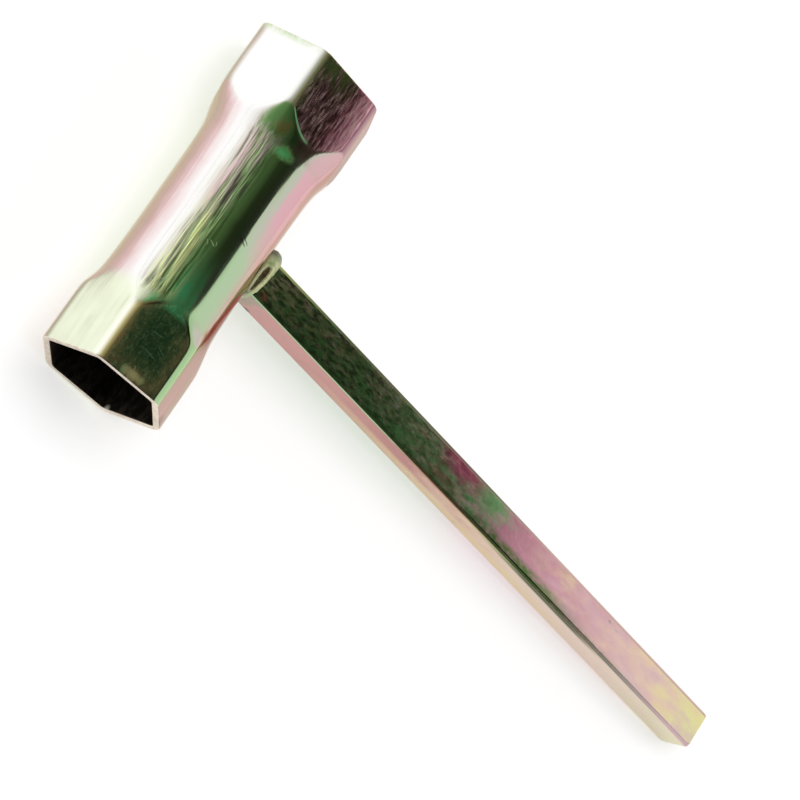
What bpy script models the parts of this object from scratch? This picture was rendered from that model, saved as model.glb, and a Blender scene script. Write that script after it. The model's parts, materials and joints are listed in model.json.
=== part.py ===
# Spark plug wrench: a steel tube swaged to a hexagon socket at each end, with a square bar
# welded by its end to the side of the tube's round waist.
# Metres, +Z up. The wrench lies on the plane z = 0, as it would on a bench.
# Until it is laid down, X runs along the tube to its small socket and Y along the bar.

import math

import bmesh
import bpy
from mathutils import Matrix
from mathutils import Vector

# Sockets: the plug hexagons across flats, and the play that a socket leaves around its plug
SMALL_PLUG_HEX = 0.01905
LARGE_PLUG_HEX = 0.02064
PLUG_PLAY = 0.00035

# Tube: lengths along its axis are measured from the middle of the bar
TUBE_WALL = 0.0014
WAIST_RADIUS = 0.0106
SMALL_END = 0.0318
LARGE_END = 0.0328
SMALL_CORNER_LENGTH = 0.0110
LARGE_CORNER_LENGTH = 0.0110
SMALL_CORNER_ANGLE = math.radians(14.5)
LARGE_CORNER_ANGLE = math.radians(6.0)
LARGE_END_SLANT = math.radians(4.6)
LARGE_END_SLANT_WAY = math.radians(46.0)
OUTER_CORNER_ROUND = 0.0028
INNER_CORNER_ROUND = 0.0010
RIM_EDGE = 0.0003

# Swage: how steeply the waist opens to a socket, and how softly its two bends run
FLARE_SLOPE = 0.48
FLARE_FILLET = 0.0025
SHOULDER_FILLET = 0.0005

# Bar: a square bar, with its reach from the tube's axis to its free end
BAR_SIDE = 0.0074
BAR_EDGE_ROUND = 0.0007
BAR_REACH = 0.1442

# Welds: one bead over each of two opposite faces of the bar, wrapped half way round its sides
BEAD_RADIUS = 0.0016
BEAD_BEND = 0.0018
BEAD_STAND = 0.00015
BEAD_REACH = 0.0013
BEAD_MEETING_GAP = 0.0006

# Space between pieces that meet
SEAT_GAP = 0.0003

# Facets
SECTOR_STEPS = 5
FLARE_RINGS = 7
WAIST_RINGS = 3
SOCKET_RINGS = 3
BEAD_RUN_POINTS = 5
BEAD_BEND_POINTS = 5
BEAD_SIDES_RESOLUTION = 4
BAR_EDGE_SEGMENTS = 3
WAIST_CUTTER_SEGMENTS = 96
SHARP_ANGLE = math.radians(40)
WELD_DISTANCE = 0.00001
SETTLE_ROUNDS = 8

SIXTY = math.pi / 3
THIRTY = math.pi / 6


def clear_scene():
    for item in list(bpy.data.objects):
        bpy.data.objects.remove(item, do_unlink=True)


def make_collection(name):
    collection = bpy.data.collections.new(name)
    bpy.context.scene.collection.children.link(collection)
    return collection


def make_material(name, colour, roughness):
    material = bpy.data.materials.new(name)
    material.use_nodes = True
    shader = material.node_tree.nodes["Principled BSDF"]
    shader.inputs["Base Color"].default_value = (*colour, 1.0)
    shader.inputs["Metallic"].default_value = 1.0
    shader.inputs["Roughness"].default_value = roughness
    return material


def add_object(name, mesh, collection, material):
    item = bpy.data.objects.new(name, mesh)
    collection.objects.link(item)
    if material:
        item.data.materials.append(material)
    return item


def as_cutter(item):
    item.hide_render = True
    item.display_type = "WIRE"
    return item


# Tube sections

def hexagon_radius(angle, apothem, corner_round):
    # Distance from the axis to a rounded hexagon, at an angle counted from one of its corners
    off_corner = abs((angle + THIRTY) % SIXTY - THIRTY)
    arc_centre = (apothem - corner_round) / math.cos(THIRTY)
    arc_reach = THIRTY - math.atan((apothem - corner_round) * math.tan(THIRTY) / apothem)
    if off_corner >= arc_reach:
        return apothem / math.cos(THIRTY - off_corner)
    across = arc_centre * math.sin(off_corner)
    return arc_centre * math.cos(off_corner) + math.sqrt(corner_round ** 2 - across ** 2)


def smooth_hinge(distance, fillet):
    # Zero on one side and a slope of one on the other, with a rounded bend between
    return (distance + math.hypot(distance, fillet)) / 2


def smooth_least(first, second, fillet):
    # The smaller of two lengths, with their meeting line rounded off
    return (first + second - math.hypot(first - second, fillet)) / 2


class Socket:
    # One end of the tube, seen along its own way out from the bar
    def __init__(self, plug_hex, end, corner_length, corner_angle, end_slant, slant_way):
        self.inner_apothem = (plug_hex + PLUG_PLAY) / 2
        self.outer_apothem = self.inner_apothem + TUBE_WALL
        self.end = end
        self.lean_y = math.tan(end_slant) * math.cos(slant_way)
        self.lean_z = math.tan(end_slant) * math.sin(slant_way)
        corner_radius = hexagon_radius(0.0, self.outer_apothem, OUTER_CORNER_ROUND)
        self.corner_start = end - corner_length
        self.flare_start = self.corner_start - (corner_radius - WAIST_RADIUS) / FLARE_SLOPE

    def outer_radius(self, distance, angle):
        flare = WAIST_RADIUS + FLARE_SLOPE * smooth_hinge(distance - self.flare_start, FLARE_FILLET)
        hexagon = hexagon_radius(angle, self.outer_apothem, OUTER_CORNER_ROUND)
        return smooth_least(hexagon, flare, SHOULDER_FILLET)

    def inner_radius(self, distance, angle):
        flare = FLARE_SLOPE * smooth_hinge(distance - self.flare_start, FLARE_FILLET)
        hexagon = hexagon_radius(angle, self.inner_apothem, INNER_CORNER_ROUND)
        return smooth_least(hexagon, WAIST_RADIUS - TUBE_WALL + flare, SHOULDER_FILLET)

    def cut_back(self, distance, y, z):
        # How far a point near the rim is drawn in where the end is cut out of square
        share = (distance - self.corner_start) / (self.end - self.corner_start)
        return min(max(share, 0.0), 1.0) * (self.lean_y * y + self.lean_z * z)

    def stations(self):
        # Distances from the bar's middle where the tube gets a ring, waist to rim
        bend_start = self.flare_start - FLARE_FILLET
        rim = self.end - RIM_EDGE
        flare = [bend_start + (self.corner_start - bend_start) * step / FLARE_RINGS
                 for step in range(FLARE_RINGS)]
        socket = [self.corner_start + (rim - self.corner_start) * step / SOCKET_RINGS
                  for step in range(SOCKET_RINGS + 1)]
        return flare + socket


SMALL_SOCKET = Socket(SMALL_PLUG_HEX, SMALL_END, SMALL_CORNER_LENGTH, SMALL_CORNER_ANGLE, 0.0, 0.0)
LARGE_SOCKET = Socket(LARGE_PLUG_HEX, LARGE_END, LARGE_CORNER_LENGTH, LARGE_CORNER_ANGLE,
                      LARGE_END_SLANT, LARGE_END_SLANT_WAY)


def sector_angles():
    # Angles around one tube section from its first corner, closer together at the corners
    half = [THIRTY * (step / SECTOR_STEPS) ** 1.5 for step in range(SECTOR_STEPS + 1)]
    sector = half + [SIXTY - angle for angle in reversed(half[1:-1])]
    return [corner * SIXTY + angle for corner in range(6) for angle in sector]


def ring_corner_angle(x):
    # The sections turn evenly along the waist, from one socket's corners to the other's
    span = SMALL_SOCKET.flare_start + LARGE_SOCKET.flare_start
    share = min(max((x + LARGE_SOCKET.flare_start) / span, 0.0), 1.0)
    return LARGE_CORNER_ANGLE + (SMALL_CORNER_ANGLE - LARGE_CORNER_ANGLE) * share


def tube_ring(x, wall_side, trim):
    # One section of the tube's outside or inside, with its radius trimmed at a rim's edge
    socket = SMALL_SOCKET if x > 0 else LARGE_SOCKET
    outward = 1.0 if x > 0 else -1.0
    radius_of = socket.outer_radius if wall_side == "outer" else socket.inner_radius
    corner_angle = ring_corner_angle(x)
    ring = []
    for angle in sector_angles():
        radius = radius_of(abs(x), angle) + trim
        y = radius * math.cos(angle + corner_angle)
        z = radius * math.sin(angle + corner_angle)
        ring.append(Vector((x - outward * socket.cut_back(abs(x), y, z), y, z)))
    return ring


def tube_rings():
    # Sections along the outside, over the small rim, back along the inside and over the large rim
    waist_from = LARGE_SOCKET.stations()[0]
    waist_to = SMALL_SOCKET.stations()[0]
    waist = [-waist_from + (waist_from + waist_to) * step / (WAIST_RINGS + 1)
             for step in range(1, WAIST_RINGS + 1)]
    along = [-distance for distance in reversed(LARGE_SOCKET.stations())]
    along += waist
    along += SMALL_SOCKET.stations()
    rings = [tube_ring(x, "outer", 0.0) for x in along]
    rings.append(tube_ring(SMALL_END, "outer", -RIM_EDGE))
    rings.append(tube_ring(SMALL_END, "inner", RIM_EDGE))
    rings += [tube_ring(x, "inner", 0.0) for x in reversed(along)]
    rings.append(tube_ring(-LARGE_END, "inner", RIM_EDGE))
    rings.append(tube_ring(-LARGE_END, "outer", -RIM_EDGE))
    return rings


def make_socket_tube(collection):
    # A closed sleeve lofted between the sections, which change from hexagon to round and back
    shape = bmesh.new()
    loops = [[shape.verts.new(point) for point in ring] for ring in tube_rings()]
    for loop, following in zip(loops, loops[1:] + loops[:1]):
        for index in range(len(loop)):
            after = (index + 1) % len(loop)
            shape.faces.new((loop[index], loop[after], following[after], following[index]))
    bmesh.ops.recalc_face_normals(shape, faces=shape.faces)
    mesh = bpy.data.meshes.new("socket_tube")
    shape.to_mesh(mesh)
    shape.free()
    mesh.shade_smooth()
    mesh.set_sharp_from_angle(angle=SHARP_ANGLE)
    material = make_material("plated_tube", (0.66, 0.66, 0.50), 0.28)
    return add_object("socket_tube", mesh, collection, material)


# Bar

def bar_block(name, side, start, end):
    # A square block along Y, centred on the bar's axis
    shape = bmesh.new()
    bmesh.ops.create_cube(shape, size=1.0)
    bmesh.ops.scale(shape, vec=(side, end - start, side), verts=shape.verts)
    bmesh.ops.translate(shape, vec=(0.0, (start + end) / 2, 0.0), verts=shape.verts)
    mesh = bpy.data.meshes.new(name)
    shape.to_mesh(mesh)
    shape.free()
    return mesh


def make_handle_bar(collection):
    mesh = bar_block("handle_bar", BAR_SIDE, WAIST_RADIUS + SEAT_GAP, BAR_REACH)
    material = make_material("plated_bar", (0.60, 0.58, 0.42), 0.32)
    item = add_object("handle_bar", mesh, collection, material)
    bevel = item.modifiers.new("edge_round", "BEVEL")
    bevel.width = BAR_EDGE_ROUND
    bevel.segments = BAR_EDGE_SEGMENTS
    bevel.limit_method = "NONE"
    return item


# Welds

def bead_outline():
    # The bead's middle line seen along the bar: up one side, over the upper face, down the other
    half = BAR_SIDE / 2 + BEAD_STAND
    straight = half - BEAD_BEND
    foot = BEAD_MEETING_GAP / 2
    outline = [(half, foot + (straight - foot) * step / BEAD_RUN_POINTS)
               for step in range(BEAD_RUN_POINTS)]
    for step in range(BEAD_BEND_POINTS + 1):
        turn = math.pi / 2 * step / BEAD_BEND_POINTS
        outline.append((straight + BEAD_BEND * math.cos(turn), straight + BEAD_BEND * math.sin(turn)))
    outline += [(straight * (1 - 2 * step / BEAD_RUN_POINTS), half)
                for step in range(1, BEAD_RUN_POINTS // 2 + 1)]
    return outline + [(-x, z) for x, z in reversed(outline)]


def bead_tube(name):
    # A round wire along the outline, bent to the curve of the waist, as a closed mesh
    outline = bead_outline()
    curve = bpy.data.curves.new(name + "_line", "CURVE")
    curve.dimensions = "3D"
    curve.bevel_depth = BEAD_RADIUS
    curve.bevel_resolution = BEAD_SIDES_RESOLUTION
    curve.use_fill_caps = True
    spline = curve.splines.new("POLY")
    spline.points.add(len(outline) - 1)
    for point, (x, z) in zip(spline.points, outline):
        y = math.sqrt(WAIST_RADIUS ** 2 - z ** 2) + BEAD_REACH
        point.co = (x, y, z, 1.0)
    wire = bpy.data.objects.new(name + "_line", curve)
    bpy.context.scene.collection.objects.link(wire)
    bpy.context.view_layer.update()
    depsgraph = bpy.context.evaluated_depsgraph_get()
    mesh = bpy.data.meshes.new_from_object(wire.evaluated_get(depsgraph))
    bpy.data.objects.remove(wire, do_unlink=True)
    shape = bmesh.new()
    shape.from_mesh(mesh)
    bmesh.ops.remove_doubles(shape, verts=shape.verts, dist=WELD_DISTANCE)
    bmesh.ops.recalc_face_normals(shape, faces=shape.faces)
    shape.to_mesh(mesh)
    shape.free()
    return mesh


def make_bead(name, collection, cutters, turn_over):
    # The wire cut back to lie in the corner of tube and bar, on the bar's upper face or, with
    # the tool turned over about the bar, on its lower face
    mesh = bead_tube(name)
    mesh.shade_smooth()
    mesh.set_sharp_from_angle(angle=SHARP_ANGLE)
    mesh.materials.clear()
    material = make_material(name + "_metal", (0.58, 0.62, 0.40), 0.40)
    item = add_object(name, mesh, collection, material)
    for cutter in cutters:
        cut = item.modifiers.new("clear_" + cutter.name, "BOOLEAN")
        cut.operation = "DIFFERENCE"
        cut.solver = "EXACT"
        cut.object = cutter
    item.matrix_local = Matrix.Rotation(turn_over, 4, "Y")
    return item


def make_weld_cutters(collection):
    # The bar and the waist, each grown by the seat gap
    grown_side = BAR_SIDE + 2 * SEAT_GAP
    block = bar_block("bar_clearance", grown_side, WAIST_RADIUS - BAR_SIDE, BAR_REACH)
    bar_cutter = as_cutter(add_object("bar_clearance", block, collection, None))
    shape = bmesh.new()
    grown_radius = (WAIST_RADIUS + SEAT_GAP) / math.cos(math.pi / WAIST_CUTTER_SEGMENTS)
    bmesh.ops.create_cone(shape, cap_ends=True, segments=WAIST_CUTTER_SEGMENTS, depth=4 * BAR_SIDE,
                          radius1=grown_radius, radius2=grown_radius)
    bmesh.ops.rotate(shape, matrix=Matrix.Rotation(math.pi / 2, 3, "Y"), verts=shape.verts)
    mesh = bpy.data.meshes.new("waist_clearance")
    shape.to_mesh(mesh)
    shape.free()
    waist_cutter = as_cutter(add_object("waist_clearance", mesh, collection, None))
    return [bar_cutter, waist_cutter]


# Laying the wrench down

def world_points(items):
    # Every corner of the finished pieces, where they lie now
    bpy.context.view_layer.update()
    depsgraph = bpy.context.evaluated_depsgraph_get()
    points = []
    for item in items:
        finished = item.evaluated_get(depsgraph)
        mesh = finished.to_mesh()
        points += [finished.matrix_world @ vertex.co for vertex in mesh.vertices]
        finished.to_mesh_clear()
    return points


def lowest(points):
    return min(points, key=lambda point: point.z)


def lay_down(rest, tube, bar, everything):
    # The wrench rests on one corner of each socket and on the bar's free end: turn it until
    # those three points are level, then point the bar along Y and set its box on the origin
    for _ in range(SETTLE_ROUNDS):
        tube_points = world_points([tube])
        middle = rest.matrix_world @ Vector((0.0, 0.0, 0.0))
        along = rest.matrix_world.to_3x3() @ Vector((1.0, 0.0, 0.0))
        small = lowest([point for point in tube_points if (point - middle).dot(along) > 0])
        large = lowest([point for point in tube_points if (point - middle).dot(along) < 0])
        free_end = lowest(world_points([bar]))
        up = (small - large).cross(free_end - large).normalized()
        level = up.rotation_difference(Vector((0.0, 0.0, 1.0)))
        rest.matrix_world = level.to_matrix().to_4x4() @ rest.matrix_world
    bar_way = rest.matrix_world.to_3x3() @ Vector((0.0, 1.0, 0.0))
    swing = Matrix.Rotation(math.atan2(bar_way.x, bar_way.y), 4, "Z")
    rest.matrix_world = swing @ rest.matrix_world
    points = world_points(everything)
    low = [min(point[axis] for point in points) for axis in range(3)]
    high = [max(point[axis] for point in points) for axis in range(3)]
    shift = Vector((-(low[0] + high[0]) / 2, -(low[1] + high[1]) / 2, -low[2]))
    rest.matrix_world = Matrix.Translation(shift) @ rest.matrix_world
    bpy.context.view_layer.update()


def main():
    clear_scene()
    parts = make_collection("spark_plug_wrench")
    cutter_collection = make_collection("spark_plug_wrench_cutters")
    cutters = make_weld_cutters(cutter_collection)
    tube = make_socket_tube(parts)
    bar = make_handle_bar(parts)
    front = make_bead("weld_bead_front", parts, cutters, 0.0)
    back = make_bead("weld_bead_back", parts, cutters, math.pi)
    rest = bpy.data.objects.new("wrench_rest", None)
    parts.objects.link(rest)
    for item in [tube, bar, front, back] + cutters:
        item.parent = rest
    lay_down(rest, tube, bar, [tube, bar, front, back])


main()
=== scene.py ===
import json
import math
from functools import reduce

import bpy
import numpy as np
from mathutils import Matrix, Vector


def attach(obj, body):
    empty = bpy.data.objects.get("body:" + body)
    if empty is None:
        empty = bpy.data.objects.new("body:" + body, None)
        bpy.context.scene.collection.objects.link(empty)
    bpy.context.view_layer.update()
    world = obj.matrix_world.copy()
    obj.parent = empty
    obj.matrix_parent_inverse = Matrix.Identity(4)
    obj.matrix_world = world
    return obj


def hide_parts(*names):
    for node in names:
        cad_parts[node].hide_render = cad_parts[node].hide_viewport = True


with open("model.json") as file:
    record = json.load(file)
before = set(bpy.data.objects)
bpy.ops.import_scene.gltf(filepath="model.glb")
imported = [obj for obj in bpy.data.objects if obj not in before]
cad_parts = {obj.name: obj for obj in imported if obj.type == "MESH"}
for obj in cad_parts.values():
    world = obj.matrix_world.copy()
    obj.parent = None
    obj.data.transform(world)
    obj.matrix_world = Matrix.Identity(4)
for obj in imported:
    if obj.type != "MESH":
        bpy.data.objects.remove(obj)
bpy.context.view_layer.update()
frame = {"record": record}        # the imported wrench, fixed in place

# The tool's own axes, from the record's mounts: x along the tube to the small socket,
# y along the handle, z up out of the bench. Its origin is on the tube's axis, behind the handle.
mounts = {mount["name"]: mount for mount in frame["record"]["mounts"]}
handleReach = 0.1442
tubeWay = np.array(mounts["small_socket_mouth"]["axis"], float)
handleWay = np.array(mounts["handle_end"]["axis"], float)
upWay = np.cross(tubeWay, handleWay)
toolAxes = np.stack([tubeWay, handleWay, upWay], axis=1)
toolOrigin = np.array(mounts["handle_end"]["pos_m"], float) - handleReach * handleWay
toolMatrix = Matrix.Translation(toolOrigin.tolist()) @ Matrix(toolAxes.tolist()).to_4x4()
sixty = math.pi / 3
thirty = math.pi / 6


def toRow(points):
    return points @ toolAxes.T + toolOrigin


# A surface from a grid of points: columns always close round, rows close round or end in a pole.
# Marks are values per point, kept as attributes, beside the way that the surface faces
def gridPiece(name, points, rowsClose, node, marks):
    rows, columns = points.shape[:2]
    vertices = points.reshape(-1, 3)
    index = np.arange(rows * columns).reshape(rows, columns)
    last = rows if rowsClose else rows - 1
    here = index[:last]
    there = np.roll(index, -1, axis=0)[:last]
    quads = np.stack([here, np.roll(here, -1, 1), np.roll(there, -1, 1), there], -1).reshape(-1, 4)
    faces = quads.tolist()
    if not rowsClose:
        vertices = np.concatenate([vertices, points[:1].mean(1), points[-1:].mean(1)])
        first, end = rows * columns, rows * columns + 1
        faces += np.stack([np.roll(index[0], -1), index[0], np.full(columns, first)], -1).tolist()
        faces += np.stack([index[-1], np.roll(index[-1], -1), np.full(columns, end)], -1).tolist()
    a, b, c, d = (vertices[quads[:, k]] for k in range(4))
    volume = np.sum(a * np.cross(b, c)) + np.sum(a * np.cross(c, d))
    if volume < 0:
        faces = [face[::-1] for face in faces]      # faces point outwards
    mesh = bpy.data.meshes.new(name)
    mesh.from_pydata(toRow(vertices).tolist(), [], faces)
    mesh.shade_smooth()
    mesh.update()
    normals = np.empty(len(vertices) * 3, np.float32)
    mesh.vertex_normals.foreach_get("vector", normals)
    facing = (normals.reshape(-1, 3) @ toolAxes).astype(np.float32)
    mesh.attributes.new("facing", "FLOAT_VECTOR", "POINT").data.foreach_set("vector", facing.ravel())
    for mark, values in marks.items():
        flat = np.broadcast_to(values, (rows, columns)).ravel()
        flat = flat if rowsClose else np.concatenate([flat, flat[:1], flat[-1:]])
        mesh.attributes.new(mark, "FLOAT", "POINT").data.foreach_set("value", flat.astype(np.float32))
    piece = bpy.data.objects.new(name, mesh)
    bpy.context.scene.collection.objects.link(piece)
    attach(piece, "root")
    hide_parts(node)
    return piece


# Sines of fixed phases, summed and held between 0 and 1: a small unevenness
def unevenness(u, v, waves):
    total = sum(np.sin(fu * u + fv * v + phase) for fu, fv, phase in waves)
    return 0.5 + 0.5 * total / len(waves)


# Socket tube
tube = dict(
    wall=0.0014, waist=0.0106,
    smallFlats=0.0194, largeFlats=0.02099,        # inside, across flats
    smallEnd=0.0318, largeEnd=0.0328,             # rims, from the handle's middle
    smallCorner=0.0110, largeCorner=0.0110,       # length of the straight corners
    smallTurn=math.radians(14.5), largeTurn=math.radians(6.0),
    largeSlant=math.radians(4.6), slantWay=math.radians(46.0),
    outerRound=0.0028, innerRound=0.0010, rimRound=0.0003,
    flareSlope=0.48, flareFillet=0.0025, shoulder=0.0004, turnSpan=0.0160,
    dip=0.00003, shave=0.00002, loop=0.00006,
    dips=[(3, 190, 0.4), (4, -260, 2.0), (7, 410, 1.1), (2, 520, 4.0)],
    # rows: where the flares start, how far past the corners they are counted, and the pitches
    flareAt=0.0120, cornerMargin=0.0015, socketPitch=0.0006, flarePitch=0.00025, waistPitch=0.0009,
    boreStep=2.0, sectorColumns=20, cornerCrowd=1.35, rimRows=5,
)


# Rounded hexagon: apothem / cos(angle off the flat's middle) on the flats, and on the corners the
# far crossing of the ray with the corner's circle
def hexagonRadius(angle, apothem, corner):
    off = np.abs((angle + thirty) % sixty - thirty)
    centre = (apothem - corner) / math.cos(thirty)
    reach = thirty - math.atan((apothem - corner) * math.tan(thirty) / apothem)
    across = centre * np.sin(np.minimum(off, reach))
    arc = centre * np.cos(off) + np.sqrt(np.maximum(corner ** 2 - across ** 2, 0))
    return np.where(off >= reach, apothem / np.cos(thirty - off), arc)


# Tube radius: the smaller of the hexagon and of a flare that leaves the waist at a slope, with the
# bend and the meeting line rounded as hyperbolas
def socketRadius(distance, angle, end, inner):
    flats, far, straight = (tube[end + part] for part in ("Flats", "End", "Corner"))
    outerApothem = flats / 2 + tube["wall"]
    cornerRadius = float(hexagonRadius(np.zeros(1), outerApothem, tube["outerRound"])[0])
    start = far - straight - (cornerRadius - tube["waist"]) / tube["flareSlope"]
    bend = distance - start
    flare = tube["waist"] + tube["flareSlope"] * (bend + np.hypot(bend, tube["flareFillet"])) / 2
    if inner:
        flare = flare - tube["wall"]
        hexagon = hexagonRadius(angle, flats / 2, tube["innerRound"])
    else:
        hexagon = hexagonRadius(angle, outerApothem, tube["outerRound"])
    return (hexagon + flare - np.hypot(hexagon - flare, tube["shoulder"])) / 2


def tubeRadius(x, angle, inner):
    distance = np.abs(x)
    return np.where(x > 0, socketRadius(distance, angle, "small", inner),
                    socketRadius(distance, angle, "large", inner))


# Row stations along the outside: dense in the flares, wider on the waist and in the sockets
def tubeStations(step):
    flareAt, edge, loop = tube["flareAt"], tube["rimRound"], tube["loop"]
    smallCornerAt = tube["smallEnd"] - tube["smallCorner"] + tube["cornerMargin"]
    largeCornerAt = tube["largeEnd"] - tube["largeCorner"] + tube["cornerMargin"]

    def run(a, b, pitch):
        return np.linspace(a, b, max(2, int(round(abs(b - a) / (pitch * step)))), endpoint=False)

    return np.concatenate([
        [-tube["largeEnd"] + edge],
        run(-tube["largeEnd"] + edge + loop, -largeCornerAt, tube["socketPitch"]),
        run(-largeCornerAt, -flareAt, tube["flarePitch"]),
        run(-flareAt, flareAt, tube["waistPitch"]),
        run(flareAt, smallCornerAt, tube["flarePitch"]),
        run(smallCornerAt, tube["smallEnd"] - edge - loop, tube["socketPitch"]),
        [tube["smallEnd"] - edge - loop, tube["smallEnd"] - edge],
    ])


# Tube skin: rows run along the outside, round the small rim, back along the bore and round the
# large rim, so the rows close; columns go round the tube, closer together at the corners
def tubePoints():
    n = tube["sectorColumns"]
    half = thirty * (np.arange(n + 1) / n) ** tube["cornerCrowd"]
    sector = np.concatenate([half, sixty - half[1:-1][::-1]])
    angle = (np.arange(6)[:, None] * sixty + sector[None]).ravel()
    edge = tube["rimRound"]
    arc = np.linspace(0, math.pi / 2, tube["rimRows"] + 1)[1:]
    outer, inner = tubeStations(1.0), tubeStations(tube["boreStep"])[::-1]
    swell = edge * np.sin(arc)
    trim = edge * (1 - np.cos(arc))
    rowX = np.concatenate([
        outer,
        tube["smallEnd"] - edge + swell, tube["smallEnd"] - edge + swell[::-1],
        inner,
        -tube["largeEnd"] + edge - swell, -tube["largeEnd"] + edge - swell[::-1],
    ])
    zero = np.zeros
    rims = tube["rimRows"]
    rowTrim = np.concatenate([zero(len(outer)), -trim, trim[::-1], zero(len(inner)), trim, -trim[::-1]])
    rowInner = np.concatenate([zero(len(outer) + rims), np.ones(rims + len(inner) + rims), zero(rims)])
    x = rowX[:, None]
    a = angle[None]
    inside = rowInner[:, None]
    radius = np.where(inside > 0.5, tubeRadius(x, a, True), tubeRadius(x, a, False)) + rowTrim[:, None]
    radius = radius - (1 - inside) * (tube["shave"] + tube["dip"] * unevenness(a, x, tube["dips"]))
    share = np.clip(x / (2 * tube["turnSpan"]) + 0.5, 0, 1)
    turn = tube["largeTurn"] + (tube["smallTurn"] - tube["largeTurn"]) * share
    y = radius * np.cos(a + turn)
    z = radius * np.sin(a + turn)
    lean = math.tan(tube["largeSlant"])
    draw = lean * (math.cos(tube["slantWay"]) * y + math.sin(tube["slantWay"]) * z)
    cornerAt = tube["largeEnd"] - tube["largeCorner"]
    drawn = np.clip((-x - cornerAt) / tube["largeCorner"], 0, 1)
    return np.stack([x + drawn * draw, y, z], -1), inside


tubeGrid, tubeInside = tubePoints()
socketTube = gridPiece("socketTube", tubeGrid, True, "socket_tube", dict(bore=tubeInside))
print("stage: socket tube", len(socketTube.data.polygons), "faces")


# Handle bar
bar = dict(side=0.0074, edgeRound=0.0007, endRound=0.0007, start=0.0100, columnsPerSide=10,
           columnsPerEdge=8, pitch=0.0012, endRows=5, faceRows=6, innermost=0.05, loop=0.00006)


# Bar section: a square with rounded edges, as arcs joined by straight runs
def barSection():
    half = bar["side"] / 2
    corner = bar["edgeRound"]
    turn = np.linspace(0, math.pi / 2, bar["columnsPerEdge"])
    inset = bar["loop"] / (bar["side"] - 2 * corner)
    flat = np.concatenate([[inset], np.linspace(0, 1, bar["columnsPerSide"] + 1)[1:-1], [1 - inset]])
    arc = half - corner + corner * np.stack([np.cos(turn), np.sin(turn)], -1)
    run = np.stack([(half - corner) * (1 - 2 * flat), np.full(len(flat), half)], -1)
    side = np.concatenate([arc, run])
    swap = np.stack([-side[:, 1], side[:, 0]], -1)
    return np.concatenate([side, swap, -side, -swap])


# Bar skin: the section carried along y; the free end is drawn in round a small edge and closed flat
def barPoints():
    section = barSection()
    half = bar["side"] / 2
    rows = int((handleReach - bar["start"]) / bar["pitch"])
    stop = handleReach - bar["endRound"]
    along = np.append(np.linspace(bar["start"], stop - bar["loop"], rows), stop)
    arc = np.linspace(0, math.pi / 2, bar["endRows"] + 1)[1:]
    edge = handleReach - bar["endRound"] * (1 - np.sin(arc))
    y = np.concatenate([along, edge, np.full(bar["faceRows"] + 1, handleReach)])
    edgeScale = 1 - bar["endRound"] * (1 - np.cos(arc)) / half
    faceShares = np.linspace(1, bar["innermost"], bar["faceRows"] + 1)[1:]
    faceScale = (1 - bar["endRound"] / half) * np.append(1 - bar["loop"] / half, faceShares)
    scale = np.concatenate([np.ones(len(along)), edgeScale, faceScale])
    x = section[None, :, 0] * scale[:, None]
    z = section[None, :, 1] * scale[:, None]
    return np.stack([x, np.broadcast_to(y[:, None], x.shape), z], -1)


handleBar = gridPiece("handleBar", barPoints(), False, "handle_bar", {})
print("stage: handle bar", len(handleBar.data.polygons), "faces")


# Weld beads
bead = dict(
    radius=0.0016, bend=0.0018, stand=0.00015, reach=0.0013, meetingGap=0.0001,
    pocketAt=0.0009, pocketHalf=0.0023, pocketTurn=math.radians(245), pocketWidth=math.radians(27),
    pocketDepth=0.0009, pocketTip=0.35, pocketWall=4, taper=0.40,
    slopeTurn=math.radians(290), slopeDepth=0.00146, slopeTaper=0.00024, slopeBlend=0.00012, slopeEnd=0.1,
    lumps=0.13, lumpShift=0.004,
    lumpWaves=[(5200, 1, 0.3), (3300, -2, 1.9), (8100, 3, 4.1), (1700, 2, 2.6), (6400, -4, 0.9)],
    columns=96, rowPitch=0.0001,
)


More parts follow.
